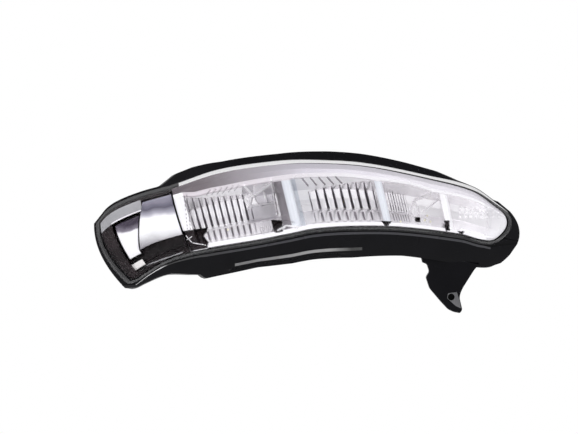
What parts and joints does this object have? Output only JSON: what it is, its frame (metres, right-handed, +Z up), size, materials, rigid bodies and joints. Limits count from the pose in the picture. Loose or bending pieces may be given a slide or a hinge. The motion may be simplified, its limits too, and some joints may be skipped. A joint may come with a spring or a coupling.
{
  "type": "mirror turn signal lamp",
  "caption": "Crescent-shaped turn signal lamp for a car's door mirror: clear lens over a fluted metallised reflector, end window with a light guide, black housing with a bracket leg",
  "frame": {"origin": "middle of the screw hole of the bracket leg, on the front face of the leg", "axes": "+X along the lamp towards the car, +Z up, the lens faces -Y"},
  "size_m": [0.2138, 0.049, 0.0808],
  "materials": {
    "black_housing": "polished black moulding",
    "clear_lens": "clear, polished",
    "seal": "matt",
    "metallised": "bright vacuum-metallised",
    "dark_tray": "satin black",
    "guide": "milky clear plastic",
    "board": "solder mask",
    "lamp_chips": "amber phosphor package",
    "guide_lamps": "white lamp package",
    "resistor_body": "matt black",
    "chip_body": "matt black",
    "screw_steel": "zinc plated",
    "lead": "amber film",
    "connector_black": "matt black",
    "contact": "plated",
    "vent_black": "matt black",
    "membrane": "porous film"
  },
  "bodies": {
    "root": {"housing": "black_housing", "outer_lens": "clear_lens", "lens_seal": "seal", "reflector": "metallised", "end_tray": "dark_tray", "light_guide": "guide", "guide_end_block": "guide", "guide_foot": "guide", "main_board": "board", "end_board": "board", "indicator_leds": "lamp_chips", "guide_leds": "guide_lamps", "resistors": "resistor_body", "driver_chips": "chip_body", "diode": "chip_body", "board_screws": "screw_steel", "end_board_screws": "screw_steel", "jumper_lead": "lead", "connector_shell": "connector_black", "connector_pins": "contact", "connector_seal": "seal", "vent_cap": "vent_black", "vent_membrane": "membrane"}
  },
  "joints": []
}
